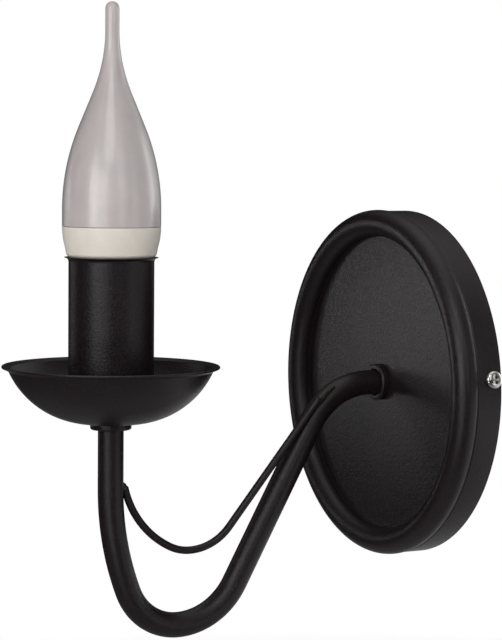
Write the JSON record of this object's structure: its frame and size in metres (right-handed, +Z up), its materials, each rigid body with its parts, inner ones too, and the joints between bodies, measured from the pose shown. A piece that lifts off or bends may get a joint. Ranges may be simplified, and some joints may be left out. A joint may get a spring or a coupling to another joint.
{
  "type": "wall light",
  "caption": "Candle-style wall sconce: round beaded wall plate, U-shaped tube arm with an accent rod, flared drip bowl, candle sleeve and a screw-in flame-tip lamp.",
  "frame": {"origin": "centre of the wall plate's back, in the plane of the wall", "axes": "+Z up along the candle, -Y out of the wall towards the candle, +X to the right seen from the room's left wall"},
  "size_m": [0.1446, 0.1756, 0.2479],
  "materials": {
    "black_powder_coat": "satin near-black powder coat with a fine texture",
    "zinc_steel": "zinc plated",
    "bright_screw": "bright nickel",
    "brass": "plain",
    "ivory_plastic": "moulded",
    "phenolic": "moulded phenolic",
    "brown_lead": "PVC insulation",
    "blue_lead": "PVC insulation",
    "earth_lead": "PVC insulation",
    "black_glass": "glazed insulator",
    "nickel_cap": "nickel plated",
    "collar_plastic": "moulded off-white plastic",
    "frosted_envelope": "milky frosted envelope",
    "circuit_board": "solder resist",
    "white_board": "white solder resist on aluminium",
    "led_phosphor": "phosphor"
  },
  "bodies": {
    "sconce": {"wall_plate": "black_powder_coat", "wall_bracket": "zinc_steel", "side_screws": "bright_screw", "earth_screw": "brass", "earth_tags": "zinc_steel", "terminal_block": "ivory_plastic", "terminal_clamps": "brass", "terminal_screws": "zinc_steel", "arm_tube": "black_powder_coat", "accent_rod": "black_powder_coat", "rod_welds": "black_powder_coat", "arm_collar": "black_powder_coat", "arm_lock_washer": "zinc_steel", "arm_lock_nut": "zinc_steel", "lead_bush": "ivory_plastic", "bowl_washer": "black_powder_coat", "drip_bowl": "black_powder_coat", "sleeve_spacer": "zinc_steel", "candle_sleeve": "black_powder_coat", "stack_nut": "zinc_steel", "holder_bush": "zinc_steel", "holder_bracket": "zinc_steel", "holder_body": "phenolic", "holder_shell": "brass", "holder_contact": "brass", "holder_screws": "zinc_steel", "lead_live": "brown_lead", "lead_neutral": "blue_lead", "lead_earth": "earth_lead"},
    "lamp_contact": {"bulb_contact": "brass"},
    "lamp": {"bulb_insulator": "black_glass", "bulb_cap": "nickel_cap", "bulb_collar": "collar_plastic", "bulb_envelope": "frosted_envelope", "driver_board": "circuit_board", "led_board": "white_board", "led_chips": "led_phosphor"}
  },
  "joints": [
    {"name": "lamp_lift", "type": "slide", "parent": "sconce", "child": "lamp_contact", "axis": [0, 0, 1], "range_m": [0, 0.01692]},
    {"name": "lamp_turn", "type": "hinge", "parent": "lamp_contact", "child": "lamp", "pos_m": [0, -0.1335, 0.08], "axis": [0, 0, 1], "range_deg": [0, 2160]}
  ],
  "couplings": [
    {"joint": "lamp_lift", "follows": "lamp_turn", "m_per_rad": 0.00044882}
  ]
}
